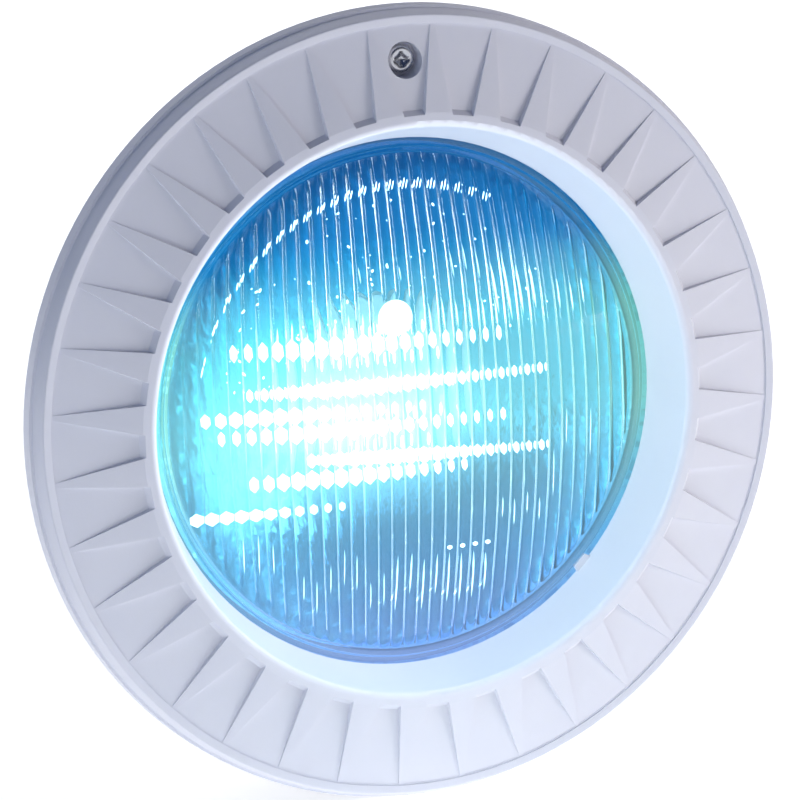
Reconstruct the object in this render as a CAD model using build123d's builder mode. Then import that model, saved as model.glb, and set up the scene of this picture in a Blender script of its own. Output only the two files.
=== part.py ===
from build123d import *
import os
from math import cos, radians, sin, sqrt

# Underwater pool light: louvered face ring, lens, LED engine and rear housing with a cord gland.
# The optical axis is the Y axis and the light faces -Y. The origin is the centre of the face ring's
# rear rim, which seats on the niche. +Z is up, where the pilot screw is. Millimetres.

# ---------------------------------------------------------------- driving dimensions
# Face ring, outside
skirt_flare = 2.7           # the rear rim is wider than the front rim by this much
skirt_depth = 12.0          # rear rim to front rim
skirt_wall = 2.8
lip_width = 5.2             # rear lip band of the skirt
lip_step = 0.9              # the front band stands back by this much
lip_draft = 0.2             # of the step, over the lip's width
step_slope = 0.3            # of the step, along the axis
rim_radius = 133.5          # front rim
rim_width = 2.8             # flat rim outside the louvers
rim_step = 0.4              # the louvered cone starts this far behind the rim
rim_round = 0.7
cone_rise = 9.2             # the cone comes forward by this much, outer to inner end
crest_band = 4.8            # plain band between the crest and the louvers
crest_rise = 0.8            # crest in front of the cone's inner end
crest_round = 2.2
inner_wall_sag = 0.8        # hollow of the smooth inner wall
opening_radius = 90.6       # foot of the smooth inner wall
inner_wall_run = 6.2        # the smooth inner wall opens by this much towards the front
shell_wall = 3.6            # under the cone
inner_wall = 3.0            # behind the smooth inner wall
inner_wall_foot = 4.2       # the same at the clamping flange
rim_undercut = 0.5          # the shell's rear corner, inside the louvers' outer ends

# Louvers
louver_count = 36
louver_depth = 1.9          # at the inner end
louver_fade = 0.15          # at the outer end
louver_margin = 0.6         # from the louver's outer end to the flat rim
louver_gap = 0.8            # land left between two louvers at their outer ends
louver_inner_width = 7.6
louver_foot = 0.8           # the sloping end wall's foot, outside the cone's inner radius
louver_draft = 10.0         # degrees, side walls
louver_end_run = 1.3        # the end wall slopes inwards by this much over its depth
cutter_margin = 6.0         # the louver's cutter runs past the ring by this much

# Clamping of the lens
seat_y = -0.6               # rear face of the ring's clamping flange
flange_margin = 1.0         # flange outside the screw bosses
flange_wall = 3.0
housing_flange_wall = 5.0
screw_head_gap = 0.6        # between the screw heads and the housing's rim
ring_screw_count = 8
ring_screw_radius = 1.9
ring_screw_head_radius = 3.4
ring_screw_head_height = 2.4
ring_screw_length = 14.0
ring_boss_radius = 4.0
lens_lap = 5.9              # the ring's foot covers the lens's rim by this much
lens_rim_wall = 4.0
lens_wall = 3.2
lens_plain = 2.4            # plain rim that shows inside the ring's foot
lens_rib = 3.2              # rim's inner edge, inside the dome's edge
lens_shoulder = 2.0         # the dome starts this far in front of the rim
lens_draft = 0.8            # over the shoulder
lens_crown = 12.0           # the dome's rise from its edge to its centre
gasket_front = 1.0
gasket_rear = 1.6
gasket_web = 1.5
gasket_setback = 1.2        # front lip, behind the ring's foot
gasket_rear_lap = 6.5       # rear lip, under the lens's rim
tab_angle = -45.0           # degrees from +X towards +Z
tab_width = 7.6
tab_tip_width = 5.4
tab_reach = 2.1
tab_root = 0.8
tab_wall = 1.6
tab_clearance = 0.2

# Pilot screw at the top
pilot_inset = 14.7          # screw's axis inside the front rim
pilot_recess_radius = 6.1
pilot_seat_y = -7.9         # floor of the recess
pilot_boss_radius = 9.0
pilot_floor = 4.0
pilot_thread_radius = 2.4
pilot_shank_radius = 2.1
pilot_clearance = 0.3
pilot_head_radius = 4.75
pilot_head_height = 3.2
pilot_head_round = 1.4
pilot_cross_width = 1.3
pilot_cross_span = 5.4
pilot_cross_depth = 1.8
pilot_length = 70.0
pilot_thread_length = 25.0
pilot_tip_chamfer = 0.8
pilot_float = 12.0          # how far the captive screw can be drawn forward
pilot_groove_radius = 1.8
washer_radius = 7.0
washer_wall = 2.5
washer_round = 0.5
washer_fit = 0.08

# Niche hook at the bottom
hook_inset = 14.5           # hook screws' axis inside the front rim
hook_wall = 1.6
hook_plate_width = 36.0
hook_plate_rise = 6.2       # plate above the hook's screws
hook_plate_drop = 5.5       # wide part of the plate below them
hook_leg_width = 22.0
hook_leg_drop = 7.2         # the leg's upper face below them
hook_reach = 18.0           # toe's rear face behind the seat
hook_toe_drop = 6.4
hook_bend = 1.4
hook_screw_spacing = 24.0
hook_boss_radius = 4.5
hook_screw_radius = 1.7
hook_screw_head_radius = 3.2
hook_screw_head_height = 2.0
hook_screw_length = 8.5
hook_extra = 0.6            # the hook's blind holes are deeper than their screws
sheet_bend = 0.9            # outer bend radius over the inner one, in sheet thicknesses

# Ribs behind the cone
rib_count = 12
rib_wall = 2.0
rib_rear_y = -3.0
rib_root = 2.0              # the ribs start inside the flange's edge
skin_share = 0.7            # bosses and ribs end at this share of the shell's wall

# Rear housing
housing_wall = 3.0
bowl_lip = 2.0              # the gasket's seat reaches inside its rear lip by this much
bowl_taper = 7.0            # the bowl narrows by this much to its shoulder
bowl_depth = 42.0           # gasket seat to the shoulder, inside
can_radius = 54.0           # inside
can_depth = 46.0            # shoulder to the rear wall, inside
housing_round = 2.5
flange_round = 1.0
seat_round = 1.5
gasket_wall = 3.5           # housing outside the gasket
gusset_count = 16
gusset_wall = 3.0
gusset_height = 30.0
gusset_toe = 2.0            # width left at both ends of the gusset's slope
sink_boss_radius = 4.8
sink_boss_height = 8.0

# Heat sink, LED board and optics
sink_edge = 4.0             # gap between the heat sink and the bowl
sink_wall = 5.0
fin_height = 12.0
fin_wall = 2.0
fin_pitch = 6.0
fin_count = 9
fin_edge = 4.0              # gap between the fins and the can
sink_screw_count = 4
sink_screw_inset = 7.0      # screws' axes inside the heat sink's edge
sink_screw_radius = 1.9
sink_screw_head_radius = 3.5
sink_screw_head_height = 2.6
sink_screw_length = 11.0
pad_wall = 0.6
pad_margin = 2.0            # board's edge outside the pad
board_wall = 1.6
board_radius = 46.0
board_screw_count = 3
board_screw_inset = 5.5
board_screw_radius = 1.45
board_screw_head_radius = 2.7
board_screw_head_height = 1.9
board_screw_length = 6.4
board_extra = 0.2           # the heat sink's blind holes are deeper than the board's screws
led_pitch = 11.3
led_rings = 2
led_side = 3.6
led_base = 0.9
led_dome_radius = 1.4
optic_wall = 1.6
optic_margin = 9.4          # plate outside the outer LEDs' centres
optic_cell_radius = 4.9
optic_cell_foot = 2.6
optic_cell_height = 7.2
optic_clearance = 0.4
optic_leg_count = 3
optic_leg_radius = 1.4
optic_leg_inset = 2.2       # legs' axes inside the plate's edge
reflector_wall = 1.6
reflector_clearance = 1.2   # round the optics
reflector_gap = 0.4         # between the reflector's lip and the bowl
reflector_lip = 2.0
reflector_inset = 4.0       # the lip behind the gasket seat
reflector_collar = 10.3     # straight collar on the board
reflector_sag = 3.6         # hollow of the bowl's section

# Driver
driver_edge = 10.0          # gap between the board and the can
driver_wall = 1.6
standoff_height = 14.4
standoff_radius = 3.2
standoff_bore_depth = 8.0
standoff_inset = 7.9        # standoffs' axes inside the board's edge
driver_screw_radius = 1.45
driver_screw_head_radius = 2.7
driver_screw_head_height = 1.9
driver_screw_length = 7.5
inductor_spot = (15.0, -14.0)
inductor_inner = 5.5
inductor_outer = 10.5
inductor_height = 7.0
inductor_round = 0.8
winding_wall = 1.1
winding_width = 1.2
winding_turns = 14
capacitor_radius = 5.0
capacitor_height = 12.5
capacitor_round = 0.8
capacitor_spots = ((-14.0, 20.0), (0.0, 26.0), (14.0, 20.0))
transistor_size = (10.0, 4.5)
transistor_height = 9.5
transistor_chamfer = 0.8
transistor_spots = ((-16.0, -6.0), (-16.0, -18.0))
chip_spot = ((0.0, 4.0),)
chip_side = 9.0
chip_height = 1.2
chip_chamfer = 0.3
terminal_size = (18.0, 10.0)
terminal_height = 10.0
terminal_z = 16.0
terminal_ways = 3
terminal_pitch = 5.4
terminal_entry_radius = 1.6
terminal_entry = 3.3        # wire holes' axes behind the board
terminal_screw_radius = 1.7
terminal_screw_depth = 3.0
terminal_screw_sunk = 0.9   # heads below the block's face
terminal_slot_width = 0.68
terminal_slot_depth = 0.8
link_x = -36.0
link_pin_count = 6
link_pitch = 2.54
link_pin_radius = 0.4
link_pin_tip = 0.6          # solder tip in front of the LED board
link_slot = (6.0, 19.0)
link_socket_size = (5.0, 17.0)
link_socket_height = 9.0
link_engagement = 6.0

# Cord gland
gland_z = -26.0
gland_thread_radius = 8.0
gland_tail = 10.0           # thread inside the rear wall
gland_hex = 12.0            # half the width across flats
gland_flange_wall = 5.0
gland_oring_wall = 1.6
gland_oring_radius = 11.0
gland_oring_round = 0.5
gland_nut_wall = 5.0
gland_stub_radius = 9.3
gland_stub = 9.0
gland_bore = 5.6
gland_seal_bore = 4.5
gland_seal_radius = 7.0
gland_seal_length = 9.5
gland_cap_clearance = 0.6
gland_cap_end = 4.0
gland_cap_round = 1.5
gland_mouth_radius = 5.4

# Clearances and common details
slip = 0.05                 # a screw, pin or seal in its own hole
through = 0.25              # a screw in a clearance hole
overcut = 1.0               # a cutter runs past the face that it opens by this much
blind_extra = 1.0           # a blind hole is deeper than its screw by this much
head_round_share = 0.35     # of the head's height
drive_depth_share = 0.5     # of the head's height
drive_span = 1.1            # cross recess, in head radii
drive_width = 0.28          # cross recess, in head radii

# ---------------------------------------------------------------- derived places
skirt_radius = rim_radius + skirt_flare
skirt_inner_radius = skirt_radius - skirt_wall
cone_outer_radius = rim_radius - rim_width
crest_radius = opening_radius + inner_wall_run
cone_inner_radius = crest_radius + crest_band
cone_outer_y = -skirt_depth + rim_step
cone_inner_y = cone_outer_y - cone_rise
cone_slope = cone_rise / (cone_outer_radius - cone_inner_radius)
crest_y = cone_inner_y - crest_rise
lens_radius = opening_radius + lens_lap
lens_clear_radius = opening_radius - lens_plain
lens_rim_y = seat_y + gasket_front
lens_rear_y = lens_rim_y + lens_rim_wall
dome_edge_y = lens_rim_y - lens_shoulder
dome_centre_y = dome_edge_y - lens_crown
gasket_front_radius = opening_radius + gasket_setback
gasket_rear_radius = lens_radius - gasket_rear_lap
gasket_rear_y = lens_rear_y + gasket_rear
gasket_radius = lens_radius + gasket_web
seat_rim_radius = gasket_radius + gasket_wall
screw_circle = seat_rim_radius + screw_head_gap + ring_screw_head_radius
flange_radius = screw_circle + ring_boss_radius + flange_margin
flange_rear_y = seat_y + housing_flange_wall
pilot_z = rim_radius - pilot_inset
boss_rear_y = pilot_seat_y + pilot_floor
head_seat_y = pilot_seat_y - pilot_clearance
pilot_tip_y = head_seat_y + pilot_length
washer_front_y = boss_rear_y + pilot_float + pilot_clearance
hook_z = hook_inset - rim_radius
hook_leg_z = hook_z - hook_leg_drop
hook_plate_y = boss_rear_y + hook_wall
bowl_mouth_radius = gasket_rear_radius - bowl_lip
bowl_floor_radius = bowl_mouth_radius - bowl_taper
bowl_floor_y = gasket_rear_y + bowl_depth
shoulder_rear_y = bowl_floor_y + housing_wall
can_floor_y = bowl_floor_y + can_depth
can_rear_y = can_floor_y + housing_wall
sink_radius = bowl_floor_radius - sink_edge
sink_front_y = bowl_floor_y - sink_wall
fin_field_radius = can_radius - fin_edge
pad_radius = board_radius - pad_margin
pad_front_y = sink_front_y - pad_wall
board_front_y = pad_front_y - board_wall
optic_radius = led_rings * led_pitch + optic_margin
optic_foot_y = board_front_y - led_base - led_dome_radius - optic_clearance
optic_plate_y = optic_foot_y - optic_cell_height
reflector_throat = optic_radius + reflector_clearance
reflector_throat_y = board_front_y - reflector_collar
reflector_mouth_y = gasket_rear_y + reflector_inset
reflector_lip_radius = bowl_mouth_radius - bowl_taper * reflector_inset / bowl_depth - reflector_gap
reflector_mouth = reflector_lip_radius - reflector_lip
driver_radius = can_radius - driver_edge
driver_rear_y = can_floor_y - standoff_height
driver_front_y = driver_rear_y - driver_wall
standoff_offset = (driver_radius - standoff_inset) * sin(radians(45.0))
flange_seat_y = can_rear_y + gland_oring_wall
stub_front_y = flange_seat_y + gland_flange_wall
stub_rear_y = stub_front_y + gland_stub


def cone_y(radius):
    """Front face of the louvered cone at a radius."""
    return cone_outer_y - cone_slope * (cone_outer_radius - radius)


def across(y):
    """Plane across the optical axis at y. Its own axes are X and Z, and it extrudes to the front."""
    return Plane.XZ.offset(-y)


def round_spots(count, radius, start=0.0):
    """Points (x, z) evenly round the optical axis, clockwise from the top as seen from the front."""
    angles = [radians(start + 360.0 * i / count) for i in range(count)]
    return [(radius * sin(a), radius * cos(a)) for a in angles]


def turns(count, start=0.0):
    """Locations turned evenly about the optical axis."""
    return [Location((0, 0, 0), (0, start + 360.0 * i / count, 0)) for i in range(count)]


def hexagon_spots(rings, pitch):
    """Points (x, z) of a close-packed hexagon with this many rings round its centre."""
    spots = []
    for row in range(-rings, rings + 1):
        count = 2 * rings + 1 - abs(row)
        for i in range(count):
            spots.append(((i - (count - 1) / 2) * pitch, row * pitch * cos(radians(30.0))))
    return spots


def rods(spots, radius, rear, front, mode=Mode.ADD):
    """Round bars along the optical axis, one at each spot."""
    with BuildSketch(across(rear)) as outline:
        with Locations(*spots):
            Circle(radius)
    extrude(outline.sketch, amount=rear - front, mode=mode)


def hexagons(spots, half_width, rear, front, mode=Mode.ADD):
    """Hexagonal bars along the optical axis, sized by half the width across flats."""
    with BuildSketch(across(rear)) as outline:
        with Locations(*spots):
            RegularPolygon(half_width, 6, major_radius=False)
    extrude(outline.sketch, amount=rear - front, mode=mode)


def blocks(spots, size, rear, front, mode=Mode.ADD):
    """Rectangular bars along the optical axis, one at each spot."""
    with BuildSketch(across(rear)) as outline:
        with Locations(*spots):
            Rectangle(*size)
    extrude(outline.sketch, amount=rear - front, mode=mode)


def spokes(count, inner, outer, width, rear, front, start=0.0, mode=Mode.ADD):
    """Radial walls between two radii."""
    with BuildSketch(across(rear)) as outline:
        with PolarLocations((inner + outer) / 2, count, start_angle=start):
            Rectangle(outer - inner, width)
    extrude(outline.sketch, amount=rear - front, mode=mode)


def turned(points, rounds=(), mode=Mode.ADD):
    """Body of revolution from (radius, y) corners. rounds holds (corner index, radius) pairs."""
    with BuildSketch(Plane.XY) as section:
        with BuildLine():
            Polyline(*points, close=True)
        make_face()
        for index, radius in rounds:
            fillet(section.vertices().sort_by_distance(Vector(*points[index]))[0], radius)
    revolve(section.sketch, axis=Axis.Y, mode=mode)


def pan_screws(spots, seat, head_radius, head_height, radius, length, forward=True):
    """Pan head screws whose heads sit at seat and whose shanks run to the front, or to the rear."""
    sense = 1 if forward else -1
    top = seat + sense * head_height
    tip = seat - sense * length
    drive_floor = top - sense * head_height * drive_depth_share
    rods(spots, head_radius, max(seat, top), min(seat, top))
    rods(spots, radius, max(seat, tip), min(seat, tip))
    by_depth = faces().sort_by(Axis.Y)
    heads = by_depth[-len(spots):] if forward else by_depth[: len(spots)]
    fillet(heads.edges(), head_height * head_round_share)
    span = head_radius * drive_span
    width = head_radius * drive_width
    for bar in ((span, width), (width, span)):
        blocks(spots, bar, max(top, drive_floor), min(top, drive_floor), mode=Mode.SUBTRACT)


def finish(piece, name):
    """Label a finished piece and write it."""
    piece.part.label = name
    export_step(piece.part, f"parts/{name}.step")


os.makedirs("parts", exist_ok=True)
centre = ((0.0, 0.0),)
pilot_spot = ((0.0, pilot_z),)
gland_spot = ((0.0, gland_z),)
ring_spots = round_spots(ring_screw_count, screw_circle, 180.0 / ring_screw_count)
hook_spots = ((-hook_screw_spacing / 2, hook_z), (hook_screw_spacing / 2, hook_z))
sink_spots = round_spots(sink_screw_count, sink_radius - sink_screw_inset, 180.0 / sink_screw_count)
board_spots = round_spots(board_screw_count, board_radius - board_screw_inset)
leg_spots = round_spots(optic_leg_count, optic_radius - optic_leg_inset, 180.0 / optic_leg_count)
led_spots = hexagon_spots(led_rings, led_pitch)
standoff_spots = [(i * standoff_offset, j * standoff_offset) for i in (-1, 1) for j in (-1, 1)]
link_spots = [(link_x, (i - (link_pin_count - 1) / 2) * link_pitch) for i in range(link_pin_count)]
terminal_spots = [((i - (terminal_ways - 1) / 2) * terminal_pitch, terminal_z) for i in range(terminal_ways)]

# ---------------------------------------------------------------- face ring
# One louver's cutter: a conical floor that fades out at its outer end, trimmed to a drafted trapezoid.
louver_outer_radius = cone_outer_radius - louver_margin
louver_floor_radius = cone_inner_radius + louver_foot
louver_floor_y = cone_y(louver_floor_radius) + louver_depth
louver_outer_y = cone_y(louver_outer_radius) + louver_fade
over_y = crest_y - cutter_margin
end_slope = louver_end_run / louver_depth
draft_growth = (louver_outer_y - louver_floor_y) * sin(radians(louver_draft))
outer_half = louver_outer_radius * sin(radians(180.0 / louver_count)) - louver_gap / 2
inner_half = louver_inner_width / 2 - draft_growth
side_slope = (outer_half - inner_half) / (louver_outer_radius - louver_floor_radius)
inner_end = louver_floor_radius - cutter_margin
inner_end_half = inner_half - side_slope * (louver_floor_radius - inner_end)

with BuildPart() as louver_cutter:
    with BuildSketch(across(louver_outer_y)) as louver_outline:
        with BuildLine():
            Polyline(
                (-inner_end_half, inner_end),
                (inner_end_half, inner_end),
                (outer_half, louver_outer_radius + overcut),
                (-outer_half, louver_outer_radius + overcut),
                close=True,
            )
        make_face()
    extrude(louver_outline.sketch, amount=louver_outer_y - over_y, taper=-louver_draft)
    turned(
        [
            (louver_floor_radius, louver_floor_y),
            (louver_outer_radius, louver_outer_y),
            (louver_outer_radius, over_y),
            (louver_floor_radius - end_slope * (louver_floor_y - over_y), over_y),
        ],
        mode=Mode.INTERSECT,
    )

# Bosses and ribs, trimmed to end inside the shell's skin.
with BuildPart() as ring_supports:
    rods(pilot_spot, pilot_boss_radius, boss_rear_y, crest_y)
    rods(hook_spots, hook_boss_radius, boss_rear_y, crest_y)
    spokes(
        rib_count, flange_radius - rib_root, skirt_inner_radius + skirt_wall / 2, rib_wall,
        rib_rear_y, crest_y, start=180.0 / rib_count,
    )
    turned(
        [
            (opening_radius, 0.0),
            (skirt_inner_radius + skirt_wall / 2, 0.0),
            (cone_outer_radius, cone_outer_y + shell_wall * skin_share),
            (cone_inner_radius, cone_inner_y + shell_wall * skin_share),
        ],
        mode=Mode.INTERSECT,
    )

shell_corner_radius = cone_outer_radius - rim_undercut
with BuildPart() as face_ring:
    with BuildSketch(Plane.XY) as ring_section:
        with BuildLine():
            front = Polyline(
                (skirt_inner_radius, 0.0),
                (skirt_radius, 0.0),
                (skirt_radius - lip_step * lip_draft, -lip_width),
                (skirt_radius - lip_step * (1 + lip_draft), -lip_width - lip_step * step_slope),
                (rim_radius, -skirt_depth),
                (cone_outer_radius, -skirt_depth),
                (cone_outer_radius, cone_outer_y),
                (cone_inner_radius, cone_inner_y),
                (crest_radius, crest_y),
            )
            inner = ThreePointArc(
                (crest_radius, crest_y),
                ((crest_radius + opening_radius) / 2 + inner_wall_sag, (crest_y + seat_y) / 2),
                (opening_radius, seat_y),
            )
            back = Polyline(
                (opening_radius, seat_y),
                (flange_radius, seat_y),
                (flange_radius, seat_y - flange_wall),
                (opening_radius + inner_wall_foot, seat_y - flange_wall),
                (crest_radius + inner_wall, cone_y(crest_radius + inner_wall) + shell_wall),
                (shell_corner_radius, cone_y(shell_corner_radius) + shell_wall),
                (skirt_inner_radius, 0.0),
            )
        make_face()
        crest_corner = ring_section.vertices().sort_by_distance(Vector(crest_radius, crest_y))[0]
        fillet(crest_corner, crest_round)
        rim_corner = ring_section.vertices().sort_by_distance(Vector(rim_radius, -skirt_depth))[0]
        fillet(rim_corner, rim_round)
    revolve(ring_section.sketch, axis=Axis.Y)
    add(ring_supports.part)
    rods(ring_spots, ring_boss_radius, seat_y - flange_wall / 2, seat_y - ring_screw_length)
    with Locations(*turns(louver_count)):
        add(louver_cutter.part, mode=Mode.SUBTRACT)
    rods(pilot_spot, pilot_recess_radius, pilot_seat_y, over_y, mode=Mode.SUBTRACT)
    rods(
        pilot_spot, pilot_thread_radius + pilot_clearance, boss_rear_y + overcut, over_y,
        mode=Mode.SUBTRACT,
    )
    rods(
        ring_spots, ring_screw_radius + slip, seat_y, flange_rear_y - ring_screw_length - blind_extra,
        mode=Mode.SUBTRACT,
    )
    rods(
        hook_spots, hook_screw_radius + slip, boss_rear_y, hook_plate_y - hook_screw_length - hook_extra,
        mode=Mode.SUBTRACT,
    )
    with BuildSketch(across(lens_rim_y - tab_clearance)) as tab_outline:
        with Locations(Location((0, 0, 0), tab_angle)):
            Polygon(
                (opening_radius + tab_root, -tab_width / 2),
                (opening_radius + tab_root, tab_width / 2),
                (opening_radius - tab_reach, tab_tip_width / 2),
                (opening_radius - tab_reach, -tab_tip_width / 2),
                align=None,
            )
    extrude(tab_outline.sketch, amount=tab_wall)
finish(face_ring, "face_ring")

# ---------------------------------------------------------------- pilot screw and its washer
with BuildPart() as pilot_screw:
    rods(pilot_spot, pilot_head_radius, head_seat_y, head_seat_y - pilot_head_height)
    fillet(faces().sort_by(Axis.Y)[0].edges(), pilot_head_round)
    rods(pilot_spot, pilot_shank_radius, pilot_tip_y - pilot_thread_length, head_seat_y)
    rods(pilot_spot, pilot_thread_radius, pilot_tip_y, pilot_tip_y - pilot_thread_length)
    chamfer(faces().sort_by(Axis.Y)[-1].edges(), pilot_tip_chamfer)
    with BuildSketch(across(washer_front_y + washer_wall + slip)) as groove_outline:
        with Locations(*pilot_spot):
            Circle(pilot_thread_radius)
            Circle(pilot_groove_radius, mode=Mode.SUBTRACT)
    extrude(groove_outline.sketch, amount=washer_wall + 2 * slip, mode=Mode.SUBTRACT)
    cross_y = head_seat_y - pilot_head_height + pilot_cross_depth
    for cross in ((pilot_cross_span, pilot_cross_width), (pilot_cross_width, pilot_cross_span)):
        blocks(pilot_spot, cross, cross_y, cross_y - pilot_head_height, mode=Mode.SUBTRACT)
finish(pilot_screw, "pilot_screw")

with BuildPart() as pilot_screw_washer:
    rods(pilot_spot, washer_radius, washer_front_y + washer_wall, washer_front_y)
    fillet(edges().filter_by(GeomType.CIRCLE), washer_round)
    rods(
        pilot_spot, pilot_groove_radius + washer_fit, washer_front_y + washer_wall, washer_front_y,
        mode=Mode.SUBTRACT,
    )
finish(pilot_screw_washer, "pilot_screw_washer")

# ---------------------------------------------------------------- niche hook
with BuildPart() as niche_hook:
    with BuildSketch(Plane.YZ) as hook_outline:
        with BuildLine():
            hook_bottom = hook_leg_z - hook_wall
            Polyline(
                (boss_rear_y, hook_z + hook_plate_rise),
                (boss_rear_y, hook_bottom),
                (hook_reach - hook_wall, hook_bottom),
                (hook_reach - hook_wall, hook_bottom - hook_toe_drop),
                (hook_reach, hook_bottom - hook_toe_drop),
                (hook_reach, hook_leg_z),
                (hook_plate_y, hook_leg_z),
                (hook_plate_y, hook_z + hook_plate_rise),
                close=True,
            )
        make_face()
        for spot in ((boss_rear_y, hook_bottom), (hook_reach, hook_leg_z)):
            corner = hook_outline.vertices().sort_by_distance(Vector(*spot))[0]
            fillet(corner, hook_bend + hook_wall * sheet_bend)
        for spot in ((hook_plate_y, hook_leg_z), (hook_reach - hook_wall, hook_bottom)):
            corner = hook_outline.vertices().sort_by_distance(Vector(*spot))[0]
            fillet(corner, hook_bend)
    extrude(hook_outline.sketch, amount=hook_leg_width / 2, both=True)
    plate_height = hook_plate_rise + hook_plate_drop
    with BuildSketch(across(hook_plate_y)) as plate_outline:
        with Locations((0.0, hook_z + hook_plate_rise - plate_height / 2)):
            RectangleRounded(hook_plate_width, plate_height, hook_bend)
    extrude(plate_outline.sketch, amount=hook_wall)
    rods(hook_spots, hook_screw_radius + through, hook_plate_y, boss_rear_y, mode=Mode.SUBTRACT)
finish(niche_hook, "niche_hook")

with BuildPart() as hook_screws:
    pan_screws(
        hook_spots, hook_plate_y, hook_screw_head_radius, hook_screw_head_height, hook_screw_radius,
        hook_screw_length,
    )
finish(hook_screws, "hook_screws")

# ---------------------------------------------------------------- lens and gasket
dome_edge = lens_clear_radius - lens_draft
rib_radius = lens_clear_radius - lens_rib
dome_radius = (dome_edge**2 + lens_crown**2) / (2 * lens_crown)
dome_axis_y = dome_centre_y + dome_radius


def dome_point(sphere, radius):
    """Corner (radius, y) on a sphere about the dome's centre."""
    return (radius, dome_axis_y - sqrt(sphere**2 - radius**2))


inner_dome = dome_radius - lens_wall
with BuildPart() as lens:
    with BuildSketch(Plane.XY) as lens_section:
        with BuildLine():
            ThreePointArc(*[dome_point(dome_radius, r) for r in (0.0, dome_edge / 2, dome_edge)])
            Polyline(
                dome_point(dome_radius, dome_edge),
                (lens_clear_radius, lens_rim_y),
                (lens_radius, lens_rim_y),
                (lens_radius, lens_rear_y),
                (rib_radius, lens_rear_y),
                dome_point(inner_dome, rib_radius),
            )
            ThreePointArc(*[dome_point(inner_dome, r) for r in (rib_radius, rib_radius / 2, 0.0)])
            Line(dome_point(inner_dome, 0.0), dome_point(dome_radius, 0.0))
        make_face()
    revolve(lens_section.sketch, axis=Axis.Y)
finish(lens, "lens")

with BuildPart() as lens_gasket:
    turned(
        [
            (gasket_front_radius, seat_y),
            (gasket_radius, seat_y),
            (gasket_radius, gasket_rear_y),
            (gasket_rear_radius, gasket_rear_y),
            (gasket_rear_radius, lens_rear_y),
            (lens_radius, lens_rear_y),
            (lens_radius, lens_rim_y),
            (gasket_front_radius, lens_rim_y),
        ]
    )
finish(lens_gasket, "lens_gasket")

# ---------------------------------------------------------------- rear housing
with BuildPart() as gussets:
    spokes(
        gusset_count, can_radius + housing_wall / 2, bowl_floor_radius, gusset_wall,
        shoulder_rear_y + gusset_height, bowl_floor_y + housing_wall / 2,
    )
    turned(
        [
            (can_radius + housing_wall / 2, bowl_floor_y + housing_wall / 2),
            (bowl_floor_radius, bowl_floor_y + housing_wall / 2),
            (bowl_floor_radius, shoulder_rear_y + gusset_toe),
            (can_radius + housing_wall + gusset_toe, shoulder_rear_y + gusset_height),
            (can_radius + housing_wall / 2, shoulder_rear_y + gusset_height),
        ],
        mode=Mode.INTERSECT,
    )

with BuildPart() as rear_housing:
    turned(
        [
            (gasket_radius, seat_y),
            (flange_radius, seat_y),
            (flange_radius, flange_rear_y),
            (seat_rim_radius, flange_rear_y),
            (seat_rim_radius, gasket_rear_y + housing_wall),
            (bowl_mouth_radius + housing_wall, gasket_rear_y + housing_wall),
            (bowl_floor_radius + housing_wall, shoulder_rear_y),
            (can_radius + housing_wall, shoulder_rear_y),
            (can_radius + housing_wall, can_rear_y),
            (0.0, can_rear_y),
            (0.0, can_floor_y),
            (can_radius, can_floor_y),
            (can_radius, bowl_floor_y),
            (bowl_floor_radius, bowl_floor_y),
            (bowl_mouth_radius, gasket_rear_y),
            (gasket_radius, gasket_rear_y),
        ],
        rounds=((2, flange_round), (4, seat_round), (6, housing_round), (8, housing_round)),
    )
    add(gussets.part)
    rods(
        sink_spots, sink_boss_radius, shoulder_rear_y + sink_boss_height, bowl_floor_y + housing_wall / 2
    )
    rods(ring_spots, ring_screw_radius + through, flange_rear_y, seat_y, mode=Mode.SUBTRACT)
    rods(
        sink_spots, sink_screw_radius + slip, sink_front_y + sink_screw_length + blind_extra, bowl_floor_y,
        mode=Mode.SUBTRACT,
    )
    rods(gland_spot, gland_thread_radius + slip, can_rear_y, can_floor_y, mode=Mode.SUBTRACT)
finish(rear_housing, "rear_housing")

with BuildPart() as ring_screws:
    pan_screws(
        ring_spots, flange_rear_y, ring_screw_head_radius, ring_screw_head_height, ring_screw_radius,
        ring_screw_length,
    )
finish(ring_screws, "ring_screws")

# ---------------------------------------------------------------- heat sink, thermal pad, LED board
with BuildPart() as heat_sink:
    fin_spots = [((i - (fin_count - 1) / 2) * fin_pitch, 0.0) for i in range(fin_count)]
    fin_root_y = bowl_floor_y - overcut
    blocks(fin_spots, (fin_wall, 2 * fin_field_radius), bowl_floor_y + fin_height, fin_root_y)
    rods(centre, fin_field_radius, bowl_floor_y + fin_height, fin_root_y, mode=Mode.INTERSECT)
    rods(centre, sink_radius, bowl_floor_y, sink_front_y)
    blocks(((link_x, 0.0),), link_slot, bowl_floor_y, sink_front_y, mode=Mode.SUBTRACT)
    rods(sink_spots, sink_screw_radius + through, bowl_floor_y, sink_front_y, mode=Mode.SUBTRACT)
    rods(
        board_spots, board_screw_radius + slip, board_front_y + board_screw_length + board_extra,
        sink_front_y, mode=Mode.SUBTRACT,
    )
finish(heat_sink, "heat_sink")

with BuildPart() as heat_sink_screws:
    pan_screws(
        sink_spots, sink_front_y, sink_screw_head_radius, sink_screw_head_height, sink_screw_radius,
        sink_screw_length, forward=False,
    )
finish(heat_sink_screws, "heat_sink_screws")

with BuildPart() as thermal_pad:
    rods(centre, pad_radius, sink_front_y, pad_front_y)
    blocks(((link_x, 0.0),), link_slot, sink_front_y, pad_front_y, mode=Mode.SUBTRACT)
    rods(board_spots, board_screw_radius + through, sink_front_y, pad_front_y, mode=Mode.SUBTRACT)
finish(thermal_pad, "thermal_pad")

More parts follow.
